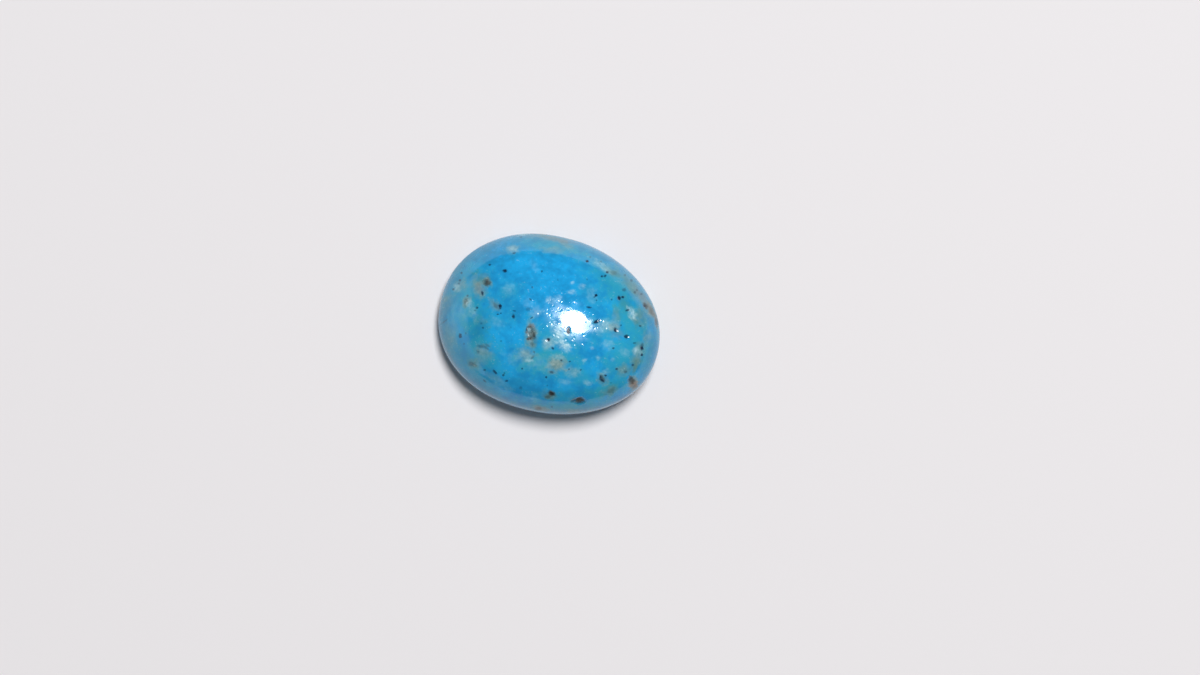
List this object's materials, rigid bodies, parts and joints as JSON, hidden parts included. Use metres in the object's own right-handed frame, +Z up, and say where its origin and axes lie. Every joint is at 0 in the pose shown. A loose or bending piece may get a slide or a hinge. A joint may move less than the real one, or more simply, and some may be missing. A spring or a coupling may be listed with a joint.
{
  "type": "turquoise cabochon",
  "caption": "Oval turquoise stone cut and polished to a high dome, with a rounded girdle, a flat back and brown matrix pits; a loose gem to lay down, glue or set in a bezel.",
  "frame": {"origin": "on the flat back that the stone lies on, under the middle of the girdle", "axes": "+X along the stone's length towards its narrower end, +Y across it, +Z up out of the dome"},
  "size_m": [0.0182, 0.0143, 0.0068],
  "materials": {
    "turquoise": "polished"
  },
  "bodies": {
    "root": {"turquoise_stone": "turquoise"}
  },
  "joints": []
}
